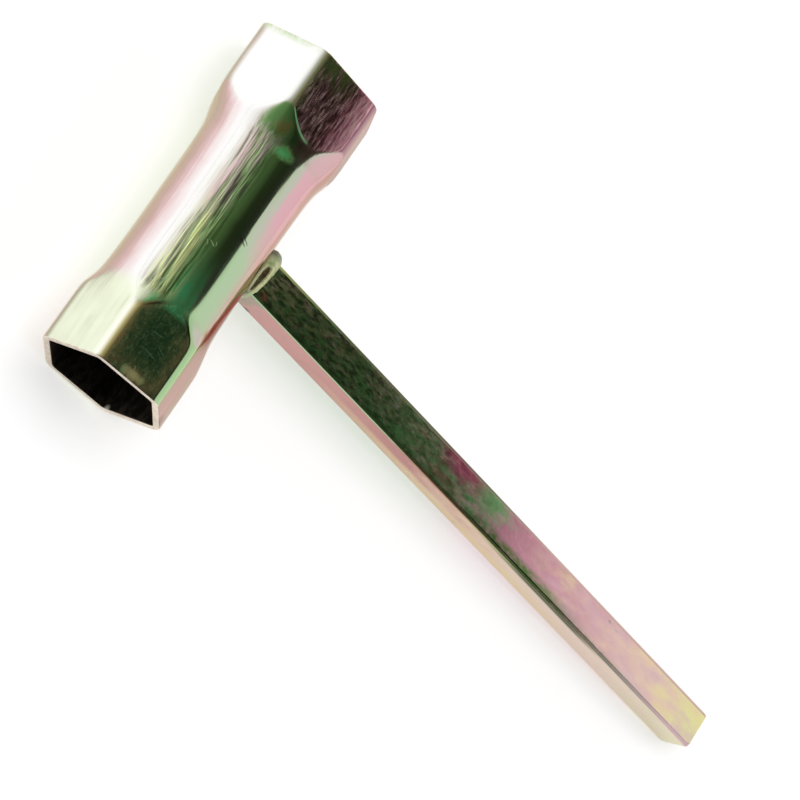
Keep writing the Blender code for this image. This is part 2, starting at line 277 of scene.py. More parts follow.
# Bead skin: a lumpy wire, thinner towards the small socket, carried along a U over the bar, bent to the
# waist's curve and flattened where it slopes down to the bar. On the upper bead a lens-shaped pocket is
# sunk beside the slope
def beadPoints(side):
    bend = bead["bend"]
    half = bar["side"] / 2 + bead["stand"]
    straight = half - bend
    foot = bead["meetingGap"] / 2
    legLength, bendLength, topLength = straight - foot, bend * math.pi / 2, 2 * straight
    total = 2 * legLength + 2 * bendLength + topLength
    s = np.linspace(0, total, int(total / bead["rowPitch"]))
    bendA = legLength + bendLength
    topA = bendA + topLength
    bendB = topA + bendLength
    turnA = np.clip((s - legLength) / bend, 0, math.pi / 2)
    turnB = np.clip((s - topA) / bend, 0, math.pi / 2)
    x = straight + bend * np.cos(turnA) - np.clip(s - bendA, 0, topLength)
    x = np.where(s > topA, -straight - bend * np.sin(turnB), x)
    z = foot + np.clip(s, 0, legLength) + bend * np.sin(turnA)
    z = np.where(s > topA, straight + bend * np.cos(turnB) - np.clip(s - bendB, 0, None), z)
    towardsFar = -side * x / half
    size = 1 - bead["taper"] * ((1 - towardsFar) / 2) ** 2
    y = np.sqrt(tube["waist"] ** 2 - z ** 2) + bead["reach"] * size
    path = np.stack([x, y, z], -1)
    ahead = np.gradient(path, axis=0)
    ahead /= np.linalg.norm(ahead, axis=1, keepdims=True)
    out = np.array([0.0, 1.0, 0.0]) - ahead * ahead[:, 1:2]
    out /= np.linalg.norm(out, axis=1, keepdims=True)
    across = np.cross(ahead, out)
    t = np.linspace(0, 2 * math.pi, bead["columns"], endpoint=False)[None]
    lens = np.sqrt(np.clip(1 - ((x - bead["pocketAt"]) / bead["pocketHalf"]) ** 2, 0, 1))[:, None]
    lens = lens if side > 0 else 0 * lens
    lensWidth = bead["pocketWidth"] * (bead["pocketTip"] + (1 - bead["pocketTip"]) * lens)
    away = np.abs(t - bead["pocketTurn"]) / lensWidth
    pocket = lens * np.exp(-away ** bead["pocketWall"])
    lumps = bead["lumps"] * unevenness(s[:, None] + bead["lumpShift"] * side, t, bead["lumpWaves"])
    slopeDepth = (bead["slopeDepth"] + bead["slopeTaper"] * towardsFar)[:, None]
    slope = slopeDepth / np.maximum(np.cos(t - bead["slopeTurn"]), bead["slopeEnd"])
    gap = bead["radius"] - slope
    radius = (bead["radius"] + slope - np.hypot(gap, bead["slopeBlend"])) / 2
    radius = radius * size[:, None] * (1 - lumps) - bead["pocketDepth"] * pocket
    ray = np.cos(t)[..., None] * out[:, None] + np.sin(t)[..., None] * across[:, None]
    points = (path[:, None] + radius[..., None] * ray) * np.array([side, 1.0, side])
    return points, pocket


frontGrid, frontPocket = beadPoints(1)
backGrid, backPocket = beadPoints(-1)
weldFront = gridPiece("weldFront", frontGrid, False, "weld_bead_front",
                      dict(pocket=frontPocket))
weldBack = gridPiece("weldBack", backGrid, False, "weld_bead_back",
                     dict(pocket=backPocket))
print("stage: weld beads", len(weldFront.data.polygons), "faces each")


# Shader helpers: an input that is a socket is linked, anything else is set
def addNode(tree, kind, inputs=None, **settings):
    made = tree.nodes.new("ShaderNode" + kind)
    for key, value in settings.items():
        setattr(made, key, value)
    for key, value in (inputs or {}).items():
        if isinstance(value, bpy.types.NodeSocket):
            tree.links.new(value, made.inputs[key])
        else:
            made.inputs[key].default_value = value
    return made


# A node on the tree that its inputs come from
def nextNode(kind, inputs, **settings):
    sockets = [value for value in inputs.values() if isinstance(value, bpy.types.NodeSocket)]
    return addNode(sockets[0].id_data, kind, inputs, **settings)


def maths(operation, *values):
    return nextNode("Math", dict(enumerate(values)), operation=operation).outputs[0]


def product(*values):
    return reduce(lambda total, value: maths("MULTIPLY", total, value), values)


def largest(*values):
    return reduce(lambda total, value: maths("MAXIMUM", total, value), values)


def opposite(value):
    return maths("SUBTRACT", 1.0, value)


def centred(value):
    return maths("SUBTRACT", value, 0.5)


def rescale(value, low, high, newLow=0.0, newHigh=1.0, smooth=False):
    kind = "SMOOTHSTEP" if smooth else "LINEAR"
    return nextNode("MapRange", {0: value, 1: low, 2: high, 3: newLow, 4: newHigh},
                    interpolation_type=kind, clamp=True).outputs[0]


# Limits, to be put on a value: all of it, a straight ramp, a smooth ramp, and a window that is
# 1 between its two middle numbers and 0 outside
def full(value):
    return value


def ramp(*numbers):
    return lambda value: rescale(value, *numbers)


def ease(*numbers):
    return lambda value: rescale(value, *numbers, smooth=True)


def band(start, whole, fade, end, smooth=True):
    return lambda value: product(rescale(value, start, whole, smooth=smooth),
                                 rescale(value, fade, end, 1.0, 0.0, smooth=smooth))


# Coordinates along the tool's own axes, divided by a length on each axis
def toolCoords(tree, lengths=(1.0, 1.0, 1.0)):
    turn = Matrix(toolAxes.tolist()).to_euler()
    coords = addNode(tree, "TexCoord").outputs["Object"]
    return nextNode("Mapping", {"Vector": coords, "Location": tuple(toolOrigin), "Rotation": tuple(turn),
                                "Scale": lengths}, vector_type="TEXTURE").outputs[0]


def splitAxes(vector):
    parts = nextNode("SeparateXYZ", {0: vector}).outputs
    return parts["X"], parts["Y"], parts["Z"]


def attribute(tree, name, output):
    return addNode(tree, "Attribute", attribute_name=name).outputs[output]


# Angle round the tube from y towards z, as a share of a full turn
def turnShare(y, z):
    return maths("FRACT", maths("DIVIDE", maths("ARCTAN2", z, y), 2 * math.pi))


def grain(tree, lengths, detail=2.0, rough=0.5, distortion=0.0):
    return addNode(tree, "TexNoise", {"Vector": toolCoords(tree, lengths), "Scale": 1.0, "Detail": detail,
                                      "Roughness": rough, "Distortion": distortion}).outputs["Fac"]


markEdges = dict(ragged=1.2, spot=(0.15, 1.05), scratchEnd=0.5, scratchSide=0.3)


# A soft spot on the tool: 1 at its middle and 0 beyond its half sizes. It is put on a grain, which
# makes its edge ragged
def spot(middle, halves):
    def limit(ragged):
        target = tuple(m / h for m, h in zip(middle, halves))
        coords = toolCoords(ragged.id_data, halves)
        away = nextNode("VectorMath", {0: coords, 1: target}, operation="DISTANCE").outputs["Value"]
        away = maths("MULTIPLY_ADD", centred(ragged), markEdges["ragged"], away)
        return rescale(away, *markEdges["spot"], 1.0, 0.0, smooth=True)

    return limit


# A straight scratch, seen from above: its middle, half length, half width and degrees from x towards y.
# It is put on the pair of x and y
def scratch(middle, halfLength, halfWidth, degrees):
    def limit(pair):
        east, north = (maths("SUBTRACT", value, start) for value, start in zip(pair, middle))
        c, s = math.cos(math.radians(degrees)), math.sin(math.radians(degrees))
        along = maths("MULTIPLY_ADD", east, c, product(north, s))
        across = maths("MULTIPLY_ADD", north, c, product(east, -s))
        endsAt, sidesAt = markEdges["scratchEnd"] * halfLength, markEdges["scratchSide"] * halfWidth
        return product(rescale(maths("ABSOLUTE", along), endsAt, halfLength, 1.0, 0.0),
                       rescale(maths("ABSOLUTE", across), sidesAt, halfWidth, 1.0, 0.0))

    return limit


def mixColour(share, first, second):
    first, second = ((*tint, 1) if isinstance(tint, tuple) else tint for tint in (first, second))
    return nextNode("Mix", {0: share, 6: first, 7: second}, data_type="RGBA").outputs[2]


# Colour bands: the first stop is at 0 and the last at 1
def colourBands(place, stops):
    made = nextNode("ValToRGB", {0: place})
    elements = made.color_ramp.elements
    for at, colour in stops[1:-1]:
        elements.new(at)
    for element, (at, colour) in zip(elements, stops):
        element.color = (*colour, 1)
    return made.outputs[0]


# A zone: the limits that its row puts on known values, multiplied, and a share; of a list, the largest
def zone(known, row):
    if isinstance(row, list):
        return largest(*(zone(known, part) for part in row))
    parts = [limit(known[name]) for name, limit in row.items() if callable(limit)]
    return product(*parts, row["share"]) if "share" in row else product(*parts)


# A coat of colour: its tint, or a known colour's name, and its zone
def coat(tint, share=1.0, **row):
    return dict(tint=tint, share=share, **row)


# Coats one over the other; a named coat's zone is kept, and a dull coat raises the known dullness
def layCoats(known, colour, coats):
    colour = known[colour] if isinstance(colour, str) else colour
    for row in coats:
        share, tint = zone(known, row), row["tint"]
        colour = mixColour(share, colour, known[tint] if isinstance(tint, str) else tint)
        if "name" in row:
            known[row["name"]] = share
        if "dull" in row:
            known["dull"] = largest(known["dull"], product(share, row["dull"]))
    return colour


# The zones and the mixed tints that a look lists become known, in their order
def addZones(known, look):
    for name, row in look["zones"].items():
        known[name] = zone(known, row)


def addTints(known, look):
    for name, (start, coats) in look["mixedTints"].items():
        known[name] = layCoats(known, start, coats)


# A new material, its shader and its known values: coordinates, and the grains that its look lists
def startMaterial(name, look):
    material = bpy.data.materials.new(name)
    material.use_nodes = True
    tree = material.node_tree
    x, y, z = splitAxes(toolCoords(tree))
    known = dict(x=x, y=y, z=z, xy=(x, y))
    known.update((key, grain(tree, *numbers)) for key, numbers in look["grains"].items())
    return material, tree.nodes["Principled BSDF"], known


def linkShader(shader, known, look, colour, height):
    bump = nextNode("Bump", {"Strength": 1.0, "Distance": look["relief"], "Height": height})
    ends = {"Base Color": colour, "Metallic": zone(known, look["metal"]),
            "Roughness": zone(known, look["roughness"]), "Normal": bump.outputs[0]}
    for name, socket in ends.items():
        shader.id_data.links.new(socket, shader.inputs[name])


# Yellow zinc plating on the tube: the film's colour turns with the way the surface faces, from tan and
# pink at the sides to green on top, differently at each socket; its near-white stops are painted highlight.
# Near is the small socket's end and far the large one's; turn is the way that the surface faces, place
# is where it lies round the tube, and around is turn with some drift
tubePlating = dict(
    # colours over around, and over the large socket's upper flat from corner to corner
    # the near-white stops, where the surface faces the bright side, are painted highlight
    waist=[(0.0, (0.56, 0.46, 0.34)), (0.10, (0.49, 0.34, 0.26)), (0.14, (0.54, 0.31, 0.27)),
           (0.17, (0.64, 0.49, 0.41)), (0.20, (0.61, 0.55, 0.48)), (0.235, (0.53, 0.57, 0.45)),
           (0.278, (0.38, 0.60, 0.20)), (0.30, (0.40, 0.78, 0.24)), (0.32, (0.38, 0.76, 0.23)),
           (0.345, (0.68, 1.0, 0.44)), (0.37, (0.46, 0.50, 0.30)), (0.39, (0.68, 0.65, 0.54)),
           (0.41, (0.88, 0.87, 0.83)), (0.43, (0.92, 0.91, 0.90)), (0.455, (0.87, 0.75, 0.74)),
           (0.48, (0.72, 0.51, 0.51)), (0.50, (0.60, 0.42, 0.38)), (0.53, (0.50, 0.40, 0.31)),
           (0.60, (0.70, 0.62, 0.44)), (0.70, (0.52, 0.66, 0.36)), (0.80, (0.76, 0.62, 0.50)),
           (0.90, (0.72, 0.52, 0.48)), (1.0, (0.56, 0.46, 0.34))],
    small=[(0.0, (0.62, 0.56, 0.42)), (0.10, (0.43, 0.25, 0.20)), (0.125, (0.45, 0.265, 0.225)),
           (0.145, (0.54, 0.54, 0.38)), (0.165, (0.54, 0.74, 0.40)), (0.20, (0.42, 0.66, 0.30)),
           (0.225, (0.32, 0.44, 0.18)), (0.25, (0.30, 0.40, 0.18)), (0.28, (0.20, 0.51, 0.19)),
           (0.30, (0.23, 0.53, 0.20)), (0.325, (0.80, 0.66, 0.24)), (0.345, (0.88, 0.72, 0.26)),
           (0.37, (0.90, 0.83, 0.48)), (0.40, (0.95, 0.95, 0.86)), (0.45, (0.85, 0.90, 0.70)),
           (0.50, (0.40, 0.38, 0.28)), (0.60, (0.74, 0.60, 0.52)), (0.75, (0.60, 0.70, 0.42)),
           (0.90, (0.76, 0.66, 0.46)), (1.0, (0.62, 0.56, 0.42))],
    large=[(0.0, (0.50, 0.42, 0.32)), (0.09, (0.26, 0.16, 0.13)), (0.13, (0.45, 0.27, 0.28)),
           (0.17, (0.50, 0.31, 0.33)), (0.19, (0.47, 0.28, 0.31)), (0.235, (0.17, 0.075, 0.10)),
           (0.255, (0.50, 0.34, 0.32)), (0.285, (0.84, 0.70, 0.40)), (0.30, (0.95, 0.90, 0.46)),
           (0.33, (0.92, 0.92, 0.50)), (0.365, (0.97, 0.97, 0.90)), (0.44, (0.94, 0.94, 0.92)),
           (0.465, (0.74, 0.67, 0.61)), (0.50, (0.48, 0.41, 0.35)), (0.65, (0.60, 0.70, 0.44)),
           (0.80, (0.76, 0.58, 0.52)), (1.0, (0.50, 0.42, 0.32))],
    largeFlat=[(0.0, (0.26, 0.36, 0.08)), (0.08, (0.22, 0.22, 0.09)), (0.20, (0.36, 0.18, 0.18)),
               (0.40, (0.26, 0.13, 0.11)), (0.50, (0.26, 0.12, 0.105)), (0.60, (0.50, 0.17, 0.20)),
               (0.76, (0.86, 0.39, 0.46)), (1.0, (0.70, 0.35, 0.41))],
    # lengths on the three axes, detail, roughness, distortion
    grains=dict(streaks=((0.013, 0.0008, 0.0008), 3.0, 0.6), blotches=((0.006, 0.004, 0.004), 2.0, 0.5),
                mottle=((0.0022, 0.0013, 0.0013), 3.0, 0.6, 0.4),
                specks=((0.0009, 0.0006, 0.0006), 3.0, 0.7, 0.6),
                grit=((0.0024, 0.00042, 0.00042), 3.0, 0.65, 0.3), fine=((0.008, 0.0004, 0.0004), 2.0, 0.5),
                coarse=((0.0035, 0.0006, 0.0006), 2.0, 0.55, 0.3)),
    streakDrift=0.04, blotchDrift=0.03, redDrift=0.05,
    redLine=(0.0074, 0.1236, 4.63),     # a point of it in x and place, and its rise per metre
    # the flares lean back from their end of the tube and keep the waist's colours
    zones=dict(
        flare=dict(outward=ease(-0.14, -0.30)), socket=dict(flare=opposite),
        onSmall=dict(x=ease(0.0155, 0.0185), socket=full),
        onLarge=dict(x=ease(-0.0150, -0.0180), socket=full),
        nearEnd=dict(x=ramp(-0.002, 0.002)), farEnd=dict(nearEnd=opposite),
        nearFlare=dict(flare=full, nearEnd=full), farFlare=dict(flare=full, farEnd=full),
        teal=[dict(turn=band(0.258, 0.276, 0.312, 0.334), x=band(0.003, 0.014, 0.0180, 0.0192),
                   mottle=ramp(0.25, 0.60, 0.45, 1.0)),
              dict(nearFlare=full, turn=band(0.240, 0.270, 0.335, 0.365), share=0.85)],
        onWaist=dict(place=band(0.300, 0.335, 0.375, 0.410), x=band(-0.019, -0.014, 0.0155, 0.0190)),
        onLargeFlat=dict(onLarge=full, turn=band(0.222, 0.248, 0.285, 0.325)),
        flatShare=dict(y=ramp(-0.0078, 0.0064)),
        onLow=dict(onLarge=full, turn=band(0.060, 0.085, 0.115, 0.140), share=0.7),
        lowSmall=dict(onSmall=full, turn=band(0.095, 0.112, 0.135, 0.150)),
        onSmallFlat=dict(onSmall=full, turn=band(0.25, 0.28, 0.31, 0.34)),
        flecked=dict(onSmallFlat=full, specks=ramp(0.50, 0.64)),
        smallEdge=[dict(y=ramp(-0.0048, -0.0080)), dict(y=ramp(-0.0006, 0.0026)),
                   dict(x=ramp(0.0268, 0.0305, 0.0, 0.8))],
        upperSide=dict(z=ramp(0.006, 0.008)), inside=dict(bore=full, outward=ease(0.85, 0.55)),
        dull=[dict(teal=full, x=ramp(0.004, 0.016, 0.25, 1.0), share=0.26),
              dict(onLargeFlat=full, flatShare=ramp(0.55, 0.82, 0.15, 0.42))]),
    # tints that are mixed first: what they start from, and the coats on it
    mixedTints=dict(
        # draw-mark tints: the light ones are painted sheen, the dark ones painted shade
        streakSheenTint=((0.86, 0.62, 0.64), [coat((0.88, 0.97, 0.42), x=ease(-0.004, 0.004))]),
        streakShade=((0.16, 0.10, 0.11), [coat((0.13, 0.19, 0.06), x=ease(-0.004, 0.004))]),
        # green by one corner, purple with short streaks, pink by the other
        flatTint=("flatBands", [
            coat((0.96, 0.66, 0.62), grit=ramp(0.51, 0.62, 0.0, 0.75)),
            coat((0.07, 0.04, 0.04), grit=ramp(0.49, 0.40), flatShare=ramp(0.58, 0.80, 0.95, 0.40)),
            coat((0.16, 0.25, 0.06), 0.9, x=ramp(-0.0270, -0.0305), y=ramp(0.0015, -0.0025),
                 mottle=ramp(0.28, 0.52))]),
        lowTint=((0.88, 0.70, 0.60), [coat((0.88, 0.58, 0.57), blotches=ramp(0.42, 0.62)),
                                      coat((0.50, 0.42, 0.28), streaks=ramp(0.48, 0.62, 0.0, 0.6))]),
        rimTint=((0.80, 0.74, 0.63), [coat((0.66, 0.58, 0.50), mottle=ramp(0.42, 0.60))]),
        # the bore is painted near black, a painted shade of the hollow, with lighter mottling
        boreShadeTint=((0.020, 0.018, 0.015), [coat((0.075, 0.060, 0.045), mottle=ramp(0.42, 0.66))])),
    coats=[
        # the flares, teal by the small socket, and light green on the side of the waist there
        coat((0.22, 0.52, 0.15), 0.85, farFlare=full, turn=band(0.275, 0.300, 0.370, 0.400)),     # green
        # pale: painted highlight on the near flare, on the side that faces the bright light
        coat((0.92, 1.0, 0.74), 0.6, nearFlare=full, turn=band(0.340, 0.375, 0.41, 0.43)),     # pale
        coat((0.46, 0.24, 0.18), 0.8, farFlare=full, turn=band(0.235, 0.250, 0.270, 0.290)),     # brown
        coat((0.06, 0.58, 0.23), 0.85, teal=full),
        coat((0.76, 0.44, 0.49), 0.7, farFlare=full, turn=band(0.140, 0.160, 0.215, 0.240)),     # pink
        coat((0.44, 0.65, 0.37), 0.7, turn=band(0.155, 0.210, 0.262, 0.272), x=ease(-0.004, 0.005),
             socket=full),
        # draw marks beside the top of the waist, green towards the small socket and pink towards the large:
        # real marks, with painted sheen and painted shade where they catch the light
        coat("streakSheenTint", 0.9, onWaist=full, streaks=ramp(0.49, 0.60)),
        coat("streakShade", 0.9, onWaist=full, streaks=ramp(0.48, 0.38)),
        # a pink stripe on the other side, stronger towards the large socket
        coat((0.80, 0.43, 0.50), 0.8, around=band(0.140, 0.168, 0.200, 0.228),
             x=band(-0.0185, -0.0150, -0.006, 0.004, smooth=False), socket=full),
        # red on the side of the waist, on a slant from the handle up to the small socket
        coat((0.35, 0.062, 0.048), 0.9, redAcross=band(-0.060, -0.026, 0.003, 0.019),
             x=band(0.0010, 0.0075, 0.0165, 0.0205), mottle=ramp(0.30, 0.52, 0.65, 1.0)),
        # the large socket's upper flat, and its satin low face by the bench
        coat("flatTint", onLargeFlat=full),
        coat("lowTint", onLow=full, dull=0.4),
        # the small socket's low face: pink along its middle and tan low down
        coat((0.55, 0.27, 0.27), 0.6, lowSmall=full, downFace=band(-0.0030, 0.0002, 0.0024, 0.0056),
             streaks=ramp(0.3, 0.6)),
        coat((0.46, 0.37, 0.26), 0.7, lowSmall=full, downFace=ease(-0.0020, -0.0070)),
        # the small socket's upper flat: brown beside its corners and rim, olive clouds, flecks
        coat((0.50, 0.34, 0.145), name="brown", onSmallFlat=full, smallEdge=full, mottle=ramp(0.28, 0.55)),
        coat((0.40, 0.36, 0.14), 0.5, name="olive", onSmallFlat=full, blotches=ramp(0.52, 0.66)),
        coat((0.38, 0.47, 0.19), 0.7, flecked=full)],
    lines=[
        # where the flares meet the upper flats, and a pale line beside the large socket's rim
        coat((0.16, 0.10, 0.05), 0.8, name="nearLine", outward=band(-0.30, -0.22, -0.13, -0.07),
             fromMiddle=ramp(0.0172, 0.0186), nearEnd=full, turn=band(0.262, 0.275, 0.305, 0.318)),
        coat((0.30, 0.80, 0.36), 0.9, outward=band(-0.24, -0.20, -0.17, -0.13),
             fromMiddle=ramp(0.0172, 0.0186), farEnd=full, turn=band(0.262, 0.270, 0.300, 0.315), dull=0.5),
        coat((0.62, 0.72, 0.50), offRim=ramp(0.0016, 0.0004), y=ramp(-0.0080, -0.0095),
             mottle=ramp(0.25, 0.55))],
    # middle, half sizes, colour, share of it, share that is dull
    patches=[((0.0307, -0.0025, 0.0108), (0.0015, 0.0028, 0.0040), (0.34, 0.31, 0.14), 1.0, 0.75),
             ((-0.0147, -0.0030, 0.0105), (0.0015, 0.0026, 0.0034), (0.07, 0.42, 0.12), 1.0, 0.6),
             ((-0.0144, -0.0031, 0.0105), (0.0009, 0.0016, 0.0034), (0.16, 0.50, 0.19), 0.8, 0.6),
             ((-0.0178, -0.0056, 0.0102), (0.0024, 0.0020, 0.0030), (0.36, 0.24, 0.07), 0.7, 0.15),
             ((0.0316, 0.0095, 0.0061), (0.0019, 0.0026, 0.0026), (0.26, 0.11, 0.08), 1.0, 0.3)],
    tick=(0.10, 0.12, 0.07), tickShare=0.8, paleMark=(0.58, 0.56, 0.44),
    # middle, half length, half width, degrees, and for the pale ones a share
    ticks=[((0.0013, 0.0001), 0.0011, 0.00022, 68),
           ((0.0008, 0.0005), 0.0010, 0.00016, 64)],
    paleMarks=[((0.0052, -0.0047), 0.0006, 0.00011, 35, 0.40),
               ((0.0049, -0.0040), 0.0008, 0.00012, 62, 0.45),
               ((0.0046, -0.0034), 0.0005, 0.00010, 20, 0.40),
               ((0.0159, -0.0079), 0.0007, 0.00012, 60, 0.45),
               ((0.0147, -0.0069), 0.0006, 0.00010, 105, 0.40),
               ((0.0262, -0.0024), 0.0015, 0.00012, 80, 0.16),
               ((0.0247, -0.0010), 0.0013, 0.00010, 66, 0.14),
               ((0.0228, -0.0030), 0.0014, 0.00012, 97, 0.14)],
    # the rim's colour, then the bore painted near black as shade
    ends=[coat("rimTint", outward=ease(0.45, 0.75)), coat("boreShadeTint", inside=full),
          # a painted glint: a pale spot on the bore's edge by the small rim
          coat((0.62, 0.62, 0.50), mottle=spot((0.0315, 0.0080, -0.0073), (0.0008, 0.0007, 0.0007)),
               inside=full, dull=0.9)],
    edgeTint=(0.90, 0.82, 0.76),
    addedDull=dict(brown=0.13, olive=0.08, flecked=0.09), metal=dict(dull=opposite),
    roughness=[dict(blotches=ramp(0.3, 0.7, 0.07, 0.13)), dict(inside=full, share=0.55),
               dict(onLargeFlat=full, share=0.18), dict(onLow=full, share=0.7)],
    # fine lines along the tube everywhere, draw marks by the top of the waist, short coarse ones on the flat
    relief=0.0002, fineLines=0.030, drawMarks=[("streaks", "onWaist", 0.9), ("coarse", "onLargeFlat", 0.11)],
)


def makeTubePlating():
    look = tubePlating
    material, shader, known = startMaterial("tubePlating", look)
    x, y, z = (known[name] for name in "xyz")
    faceX, faceY, faceZ = splitAxes(attribute(material.node_tree, "facing", "Vector"))
    known["bore"] = attribute(material.node_tree, "bore", "Fac")
    known["turn"] = turnShare(faceY, faceZ)
    known["place"] = turnShare(y, z)
    drift = product(centred(known["streaks"]), look["streakDrift"])
    drift = maths("MULTIPLY_ADD", centred(known["blotches"]), look["blotchDrift"], drift)
    known["around"] = maths("FRACT", maths("ADD", known["turn"], drift))
    known["outward"] = product(faceX, maths("SIGN", x))
    known["fromMiddle"] = maths("ABSOLUTE", x)
    known["downFace"] = maths("SUBTRACT", z, y)
    addZones(known, look)
    # Distances across the red slanted line and in from the large rim, which is cut on a slant
    redStart, redPlace, redRise = look["redLine"]
    redAcross = maths("SUBTRACT", known["place"], redPlace)
    redAcross = maths("MULTIPLY_ADD", maths("SUBTRACT", x, redStart), -redRise, redAcross)
    known["redAcross"] = maths("MULTIPLY_ADD", centred(known["blotches"]), look["redDrift"], redAcross)
    slant = math.tan(tube["largeSlant"])
    offRim = maths("MULTIPLY_ADD", y, -slant * math.cos(tube["slantWay"]), x)
    offRim = maths("MULTIPLY_ADD", z, -slant * math.sin(tube["slantWay"]), offRim)
    known["offRim"] = maths("ADD", offRim, tube["largeEnd"])
    known["flatBands"] = colourBands(known["flatShare"], look["largeFlat"])
    addTints(known, look)
    colour = colourBands(known["around"], look["waist"])
    colour = mixColour(known["onSmall"], colour, colourBands(known["around"], look["small"]))
    colour = mixColour(known["onLarge"], colour, colourBands(known["around"], look["large"]))
    colour = layCoats(known, colour, look["coats"])
    for name, share in look["addedDull"].items():
        known["dull"] = maths("MULTIPLY_ADD", known[name], share, known["dull"])
    colour = layCoats(known, colour, look["lines"])
    known["dull"] = product(known["dull"], opposite(known["nearLine"]))
    marks = [coat(tint, share, dull=dull, mottle=spot(middle, halves))
             for middle, halves, tint, share, dull in look["patches"]]
    marks += [coat(look["tick"], look["tickShare"], xy=scratch(*line), upperSide=full)
              for line in look["ticks"]]
    marks += [coat(look["paleMark"], share, dull=1.0, xy=scratch(*line), upperSide=full)
              for *line, share in look["paleMarks"]]
    colour = layCoats(known, colour, marks + look["ends"])
    shader.inputs["Specular Tint"].default_value = (*look["edgeTint"], 1)
    height = product(known["fine"], look["fineLines"])
    for name, where, depth in look["drawMarks"]:
        height = maths("MULTIPLY_ADD", product(centred(known[name]), known[where]), depth, height)
    linkShader(shader, known, look, colour, height)
    return material


socketTube.data.materials.append(makeTubePlating())
print("stage: tube plating")

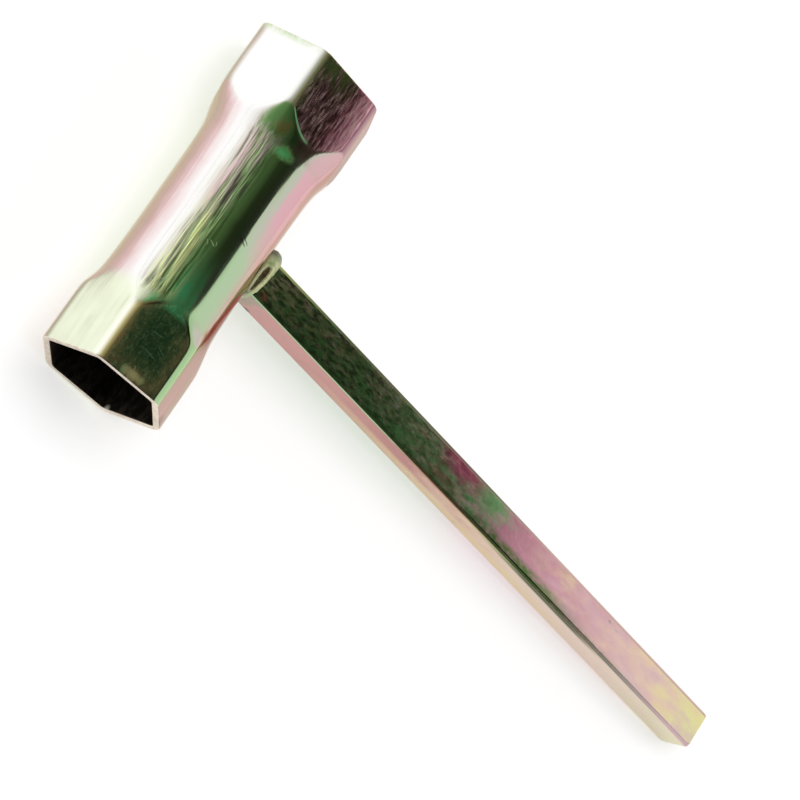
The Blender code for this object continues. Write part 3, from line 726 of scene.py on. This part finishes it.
# The same plating on the bar: green and brown on top by the tube, then pink, then yellow at the free end;
# its sides go from pink to pale yellow, with a yellow band low down and a green line at the edge above
barPlating = dict(
    # colours along the bar, and along spans of its two upper edges
    top=[(0.0, (0.50, 0.60, 0.24)), (0.10, (0.40, 0.56, 0.23)), (0.30, (0.40, 0.58, 0.25)),
         (0.40, (0.52, 0.60, 0.32)), (0.50, (0.66, 0.44, 0.42)), (0.54, (0.72, 0.33, 0.41)),
         (0.64, (0.66, 0.355, 0.41)), (0.75, (0.72, 0.46, 0.46)), (0.88, (0.80, 0.58, 0.48)),
         (1.0, (0.80, 0.77, 0.37))],
    side=[(0.0, (0.49, 0.27, 0.25)), (0.12, (0.56, 0.25, 0.23)), (0.35, (0.45, 0.165, 0.15)),
          (0.48, (0.66, 0.46, 0.32)), (0.60, (0.71, 0.56, 0.42)), (0.75, (0.72, 0.55, 0.45)),
          (0.88, (0.73, 0.59, 0.46)), (1.0, (0.69, 0.63, 0.41))],
    farEdge=[(0.0, (0.30, 0.36, 0.10)), (0.08, (0.22, 0.26, 0.09)), (0.20, (0.06, 0.065, 0.03)),
             (0.45, (0.09, 0.085, 0.05)), (0.65, (0.14, 0.12, 0.08)), (0.85, (0.60, 0.41, 0.37)),
             (1.0, (0.60, 0.41, 0.37))],
    bevelEnd=[(0.0, (0.34, 0.33, 0.21)), (0.35, (0.34, 0.34, 0.25)), (0.60, (0.62, 0.50, 0.46)),
              (0.85, (0.96, 0.66, 0.70)), (1.0, (0.96, 0.66, 0.70))],
    bandDrift=0.26, farEdgeSpan=(0.010, 0.110), bevelEndSpan=(0.100, handleReach),
    grains=dict(clouds=((0.0030, 0.0060, 0.0030), 3.0, 0.55), mottle=((0.0011, 0.0022, 0.0011), 3.0, 0.6),
                flecks=((0.0012, 0.0030, 0.0012), 4.0, 0.7, 0.4), specks=((0.0006, 0.0018, 0.0006), 2.0, 0.6),
                tints=((0.0034, 0.0080, 0.0034), 3.0, 0.55)),
    # brown flecks and yellow clouds gather towards the far edge, green ones and lilac towards the near one
    fleckLean=(0.0030, -0.0034, -0.08, 0.08), tintLean=(0.0034, -0.0034, -0.06, 0.06),
    zones=dict(firstHalf=dict(along=ease(0.56, 0.46)), lastHalf=dict(y=ramp(0.085, 0.100)),
               dark=dict(specks=ramp(0.56, 0.34), firstHalf=full, y=ramp(0.040, 0.070, 0.85, 0.25)),
               # the first half is dullest by the weld and by the pink
               dullEnd=[dict(y=ramp(0.022, 0.014)), dict(y=ramp(0.038, 0.056))],
               dull=dict(fleckLevel=ramp(0.48, 0.66, 0.04, 0.16), firstHalf=full, dark=opposite,
                         dullEnd=ramp(0.0, 1.0, 1.0, 1.85))),
    # brown turning green, for the painted reflection along the near edge
    mixedTints=dict(edgeReflectionTint=((0.32, 0.21, 0.11), [coat((0.50, 0.66, 0.25), y=ramp(0.070, 0.084))])),
    topCoats=[
        coat((0.56, 0.39, 0.28), 0.75, fleckLevel=ramp(0.52, 0.66), firstHalf=full),     # brown flecks
        coat((0.54, 0.53, 0.42), 0.6, mottle=ramp(0.54, 0.70), firstHalf=full),     # grey mottle
        coat((0.17, 0.62, 0.16), 0.8, fleckLevel=ramp(0.48, 0.36), firstHalf=full),     # green flecks
        # green clouds and dark specks
        coat((0.17, 0.62, 0.16), 0.7, clouds=ramp(0.50, 0.66), firstHalf=full, y=ramp(0.016, 0.030)),
        coat((0.10, 0.13, 0.05), 0.7, dark=full)],
    # middle, half sizes, colour, share of it
    patches=[((-0.0022, 0.0672, 0.0037), (0.0029, 0.0086, 0.0050), (0.80, 0.20, 0.31), 0.95),
             ((-0.0019, 0.0764, 0.0037), (0.0036, 0.0054, 0.0040), (0.30, 0.62, 0.25), 0.9),
             ((0.0018, 0.0640, 0.0037), (0.0014, 0.0050, 0.0030), (0.50, 0.26, 0.18), 0.6),
             ((0.0026, 0.0138, 0.0037), (0.0014, 0.0013, 0.0020), (0.70, 0.26, 0.14), 0.8),
             ((-0.0023, 0.1126, 0.0037), (0.0004, 0.0007, 0.0010), (0.34, 0.28, 0.18), 0.8),
             ((-0.0020, 0.1150, 0.0037), (0.0003, 0.0008, 0.0010), (0.48, 0.42, 0.27), 0.6),
             ((0.0034, 0.1440, 0.0034), (0.0012, 0.0012, 0.0012), (0.16, 0.13, 0.09), 1.0)],
    cloudCoats=[
        coat((0.84, 0.70, 0.38), 0.50, tints=ease(0.46, 0.74), lastHalf=full),     # yellow
        coat((0.66, 0.44, 0.54), 0.45, tints=ease(0.52, 0.28), lastHalf=full),     # lilac
        # a dark fringe along the near edge: painted reflection of the dark overhead
        coat((0.16, 0.22, 0.08), x=band(0.0022, 0.0031, 0.0034, 0.0042), flecks=ramp(0.62, 0.42, 0.1, 0.6),
             y=band(0.010, 0.016, 0.108, 0.130))],
    sideCoats=[
        # the yellow band, stains towards the free end, and tan by the weld
        coat((0.74, 0.58, 0.32), 0.7, z=band(-0.0034, -0.0026, -0.0014, 0.0004),
             y=band(0.026, 0.060, 0.09, 0.12)),
        coat((0.62, 0.66, 0.34), 0.6, tints=ramp(0.48, 0.64), y=ramp(0.08, 0.12)),
        coat((0.34, 0.28, 0.20), y=ease(0.0160, 0.0142), mottle=ramp(0.30, 0.50, 0.6, 0.95))],
    coats=[
        coat("sideTint", sideways=ease(0.55, 0.75)),
        # the near upper edge by the tube, the far one, and the near one by the free end
        coat((0.40, 0.74, 0.38), 0.8, faceX=band(0.50, 0.66, 0.93, 0.995), faceZ=ramp(0.0, 0.1),
             y=ramp(0.064, 0.046)),
        coat("farEdgeTint", 0.9, faceX=band(-0.999, -0.97, -0.10, -0.02), faceZ=ramp(0.0, 0.1)),
        coat("bevelEndTint", faceX=band(0.015, 0.08, 0.82, 0.97), faceZ=ramp(0.0, 0.1),
             y=ease(0.098, 0.124), dull=0.8),
        # the dark stretch half way, a painted reflection of the dark overhead: on top beside the edge, on the
        # edge itself and on the side below it
        coat((0.11, 0.21, 0.055), x=band(0.0010, 0.0024, 0.0036, 0.0042), faceZ=ramp(0.55, 0.75),
             y=band(0.068, 0.080, 0.090, 0.114), mottle=ramp(0.64, 0.44, 0.40, 0.95)),
        coat("edgeReflectionTint", 0.75, faceX=band(0.15, 0.45, 0.93, 0.99), faceZ=ramp(0.0, 0.1),
             y=band(0.050, 0.062, 0.084, 0.112), dull=0.18),
        coat((0.045, 0.065, 0.022), 0.95, z=ease(0.0021, 0.0028), faceX=ramp(0.70, 0.90),
             y=band(0.074, 0.094, 0.105, 0.118)),
        # a dark spot low on the side by the weld
        coat((0.025, 0.018, 0.015), mottle=spot((0.0037, 0.0163, -0.0031), (0.0012, 0.0010, 0.0012)))],
    metal=dict(dull=opposite), roughness=dict(mottle=ramp(0.3, 0.7, 0.055, 0.095)), relief=0.000002,
    lean=math.tan(math.radians(2.4)),
)


def makeBarPlating():
    look = barPlating
    material, shader, known = startMaterial("barPlating", look)
    x, y = known["xy"]
    known["faceX"], _, known["faceZ"] = splitAxes(attribute(material.node_tree, "facing", "Vector"))
    known["sideways"] = maths("ABSOLUTE", known["faceX"])
    along = rescale(y, bar["start"], handleReach)
    known["along"] = maths("MULTIPLY_ADD", centred(known["clouds"]), look["bandDrift"], along)
    known["fleckLevel"] = maths("ADD", known["flecks"], rescale(x, *look["fleckLean"]))
    known["tints"] = maths("ADD", known["tints"], rescale(x, *look["tintLean"]))
    addZones(known, look)
    addTints(known, look)
    patches = [coat(tint, share, mottle=spot(middle, halves))
               for middle, halves, tint, share in look["patches"]]
    top = colourBands(known["along"], look["top"])
    top = layCoats(known, top, look["topCoats"] + patches + look["cloudCoats"])
    known["sideTint"] = layCoats(known, colourBands(known["along"], look["side"]), look["sideCoats"])
    known["farEdgeTint"] = colourBands(rescale(y, *look["farEdgeSpan"]), look["farEdge"])
    known["bevelEndTint"] = colourBands(rescale(y, *look["bevelEndSpan"]), look["bevelEnd"])
    colour = layCoats(known, top, look["coats"])
    # Relief: the mottling, on a top that leans a little back to the tube
    height = maths("MULTIPLY_ADD", y, look["lean"] / look["relief"], known["mottle"])
    linkShader(shader, known, look, colour, height)
    return material


handleBar.data.materials.append(makeBarPlating())
print("stage: bar plating")

# Plated weld: pale yellow with green clouds and a tan end, rougher than the rest; in the pocket dark brown
# with olive lines, painted shade
weldPlating = dict(
    grains=dict(clouds=((0.0012, 0.0010, 0.0010), 2.0, 0.5), pits=((0.00035, 0.00035, 0.00035), 3.0, 0.6),
                lines=((0.0003, 0.0012, 0.0012), 2.0, 0.6)),
    zones=dict(handleSide=dict(y=ramp(0.0104, 0.0114))), lip=(0.74, 0.78, 0.46),
    # the pocket's dark brown is painted shade of the recess
    mixedTints=dict(pocketShadeTint=((0.12, 0.075, 0.04), [coat((0.20, 0.22, 0.09), lines=ramp(0.48, 0.58))])),
    coats=[
        coat((0.66, 0.68, 0.36), handleSide=full),     # pale towards the handle
        coat((0.36, 0.50, 0.18), clouds=ramp(0.50, 0.68)),     # green clouds
        coat((0.36, 0.40, 0.19), y=ramp(0.0113, 0.0124, 0.0, 0.75)),     # shade at the foot
        coat((0.24, 0.28, 0.16), x=ramp(-0.0024, -0.0040)),     # grey far end
        # a burnt corner
        coat((0.12, 0.09, 0.05), clouds=spot((-0.0050, 0.0110, 0.0036), (0.0014, 0.0014, 0.0016))),
        coat((0.42, 0.50, 0.27), x=ramp(0.0030, 0.0044, 0.0, 0.85)),     # tan near end
        # painted shade in the pocket
        coat("pocketShadeTint", name="hole", pocket=ease(0.12, 0.45))],
    metal=dict(handleSide=ramp(0.0, 1.0, 0.0, 0.55)),
    roughness=[dict(pits=ramp(0.3, 0.7, 0.26, 0.44)), dict(hole=full, share=0.6)], relief=0.00005,
)


def makeWeldPlating():
    look = weldPlating
    material, shader, known = startMaterial("weldPlating", look)
    known["pocket"] = attribute(material.node_tree, "pocket", "Fac")
    addZones(known, look)
    addTints(known, look)
    colour = layCoats(known, look["lip"], look["coats"])
    linkShader(shader, known, look, colour, known["pits"])
    return material


weldMaterial = makeWeldPlating()
weldFront.data.materials.append(weldMaterial)
weldBack.data.materials.append(weldMaterial)
print("stage: weld plating")

# Camera, in the tool's axes: on a sphere round the aim point, rolled as the picture is
cameraPlace = dict(aim=(-0.002577, 0.048146, 0.003361), azimuth=30.4492, elevation=50.9232, roll=99.3407,
                   distance=0.68, lens=180.66, sensor=36, nearest=0.01)


def makeCamera():
    azimuth, elevation, roll = (math.radians(cameraPlace[k]) for k in ("azimuth", "elevation", "roll"))
    level = math.cos(elevation)
    back = Vector((math.sin(azimuth) * level, -math.cos(azimuth) * level, math.sin(elevation)))
    right = Vector((math.cos(azimuth), math.sin(azimuth), 0))
    axes = Matrix((right, back.cross(right), back)).transposed() @ Matrix.Rotation(roll, 3, "Z")
    data = bpy.data.cameras.new("photoCamera")
    data.lens = cameraPlace["lens"]
    data.sensor_width = cameraPlace["sensor"]
    data.clip_start = cameraPlace["nearest"]
    camera = bpy.data.objects.new("photoCamera", data)
    place = Vector(cameraPlace["aim"]) + back * cameraPlace["distance"]
    camera.matrix_world = toolMatrix @ Matrix.Translation(place) @ axes.to_4x4()
    bpy.context.scene.collection.objects.link(camera)
    bpy.context.scene.camera = camera


makeCamera()

# Floor: white paper; for the camera and for mirrored rays it is lifted to white, and the shade stays
paper = dict(half=3.0, colour=0.90, roughness=0.9, lift=0.47)


def makeFloor():
    half = paper["half"]
    mesh = bpy.data.meshes.new("floor")
    corners = [(-half, -half, 0), (half, -half, 0), (half, half, 0), (-half, half, 0)]
    mesh.from_pydata(corners, [], [(0, 1, 2, 3)])
    floor = bpy.data.objects.new("floor", mesh)
    bpy.context.scene.collection.objects.link(floor)
    material = bpy.data.materials.new("floorPaper")
    material.use_nodes = True
    tree = material.node_tree
    shader = tree.nodes["Principled BSDF"]
    shader.inputs["Base Color"].default_value = (paper["colour"],) * 3 + (1,)
    shader.inputs["Roughness"].default_value = paper["roughness"]
    shader.inputs["Specular IOR Level"].default_value = 0
    rays = addNode(tree, "LightPath").outputs
    seen = largest(*(rays[kind] for kind in ("Is Camera Ray", "Is Glossy Ray", "Is Transmission Ray")))
    shader.inputs["Emission Color"].default_value = (1, 1, 1, 1)
    tree.links.new(product(seen, paper["lift"]), shader.inputs["Emission Strength"])
    mesh.materials.append(material)


makeFloor()

# Light: a soft surround, bright low at the sides and dark overhead. A direction is laid out flat by its
# angle from straight up, in degrees: across along X, ahead along Y. Going ahead, the light falls off
# slowly to the dark, which then ends at a crisp edge; where both happen depends on across
surround = dict(
    aheadSpan=(-120.0, 60.0), acrossSpan=(-110.0, 90.0), edgeSpan=(-60.0, 60.0), slideSpan=(-50.0, 50.0),
    levelSpan=(0.0, 1.25), edgeWidth=0.8, edgeFade=(-90.0, -70.0), handleLevel=0.93,
    falling=[(-120, 1.15), (-84, 1.13), (-74, 1.08), (-66, 0.99), (-58, 0.89), (-50, 0.72), (-42, 0.50),
             (-34, 0.36), (-26, 0.29), (-18, 0.16), (-4, 0.115), (6, 0.076), (12, 0.034), (28, 0.028),
             (40, 0.05), (60, 0.06)],
    slide=[(-110, -30), (-65, -12), (-55, -6), (-45, 2), (-37, 5), (-30, 2), (-25, 0), (-15, 6), (-5, 11),
           (10, 12), (90, 12)],
    edge=[(-110, -40), (-70, -12), (-60, 0), (-50, 12), (-40, 20), (-30, 28.5), (-25, 31.5), (-19.5, 34.5),
          (-10, 37), (0, 40.5), (11, 42), (18, 36), (30, 36), (41, 40), (53, 42), (60, 44), (90, 46)],
)


# Steps of a value over a span, as a ramp of greys
def valueBands(place, span, stops, newSpan):
    low, high = span
    newLow, newHigh = newSpan
    grey = [((at - low) / (high - low), ((level - newLow) / (newHigh - newLow),) * 3) for at, level in stops]
    return rescale(colourBands(rescale(place, low, high), grey), 0, 1, newLow, newHigh)


def makeSurround():
    world = bpy.data.worlds.new("surround")
    bpy.context.scene.world = world
    world.use_nodes = True
    tree = world.node_tree
    wayX, wayY, wayZ = splitAxes(addNode(tree, "TexCoord").outputs["Generated"])
    fall = product(maths("ARCCOSINE", wayZ), 180 / math.pi)
    sideways = maths("SQRT", maths("MAXIMUM", opposite(product(wayZ, wayZ)), 1e-6))
    spread = maths("DIVIDE", fall, sideways)
    across, ahead = product(wayX, spread), product(wayY, spread)
    slide = valueBands(across, surround["acrossSpan"], surround["slide"], surround["slideSpan"])
    slid = maths("ADD", ahead, slide)
    level = valueBands(slid, surround["aheadSpan"], surround["falling"], surround["levelSpan"])
    edge = valueBands(across, surround["acrossSpan"], surround["edge"], surround["edgeSpan"])
    width = surround["edgeWidth"]
    past = rescale(maths("SUBTRACT", ahead, edge), -width, width, smooth=True)
    past = product(past, rescale(ahead, *surround["edgeFade"]))
    level = maths("MULTIPLY_ADD", past, surround["handleLevel"], product(level, opposite(past)))
    background = tree.nodes["Background"]
    grey = nextNode("CombineColor", {0: level, 1: level, 2: level})
    tree.links.new(grey.outputs[0], background.inputs["Color"])
    background.inputs["Strength"].default_value = 1.0


makeSurround()

# Overhead lamp for the paper; the plating mirrors the surround alone
lamp = dict(place=(-0.15, -0.30, 1.1), size=1.0, power=5.2)


def makeLamp():
    data = bpy.data.lights.new("paperLamp", "AREA")
    data.shape = "DISK"
    data.size = lamp["size"]
    data.energy = lamp["power"]
    light = bpy.data.objects.new("paperLamp", data)
    light.location = lamp["place"]
    light.rotation_euler = (-Vector(lamp["place"])).to_track_quat("-Z", "Y").to_euler()
    light.visible_glossy = False
    bpy.context.scene.collection.objects.link(light)


makeLamp()
bpy.context.scene.view_settings.view_transform = "Standard"
print("stage: camera, floor and light")
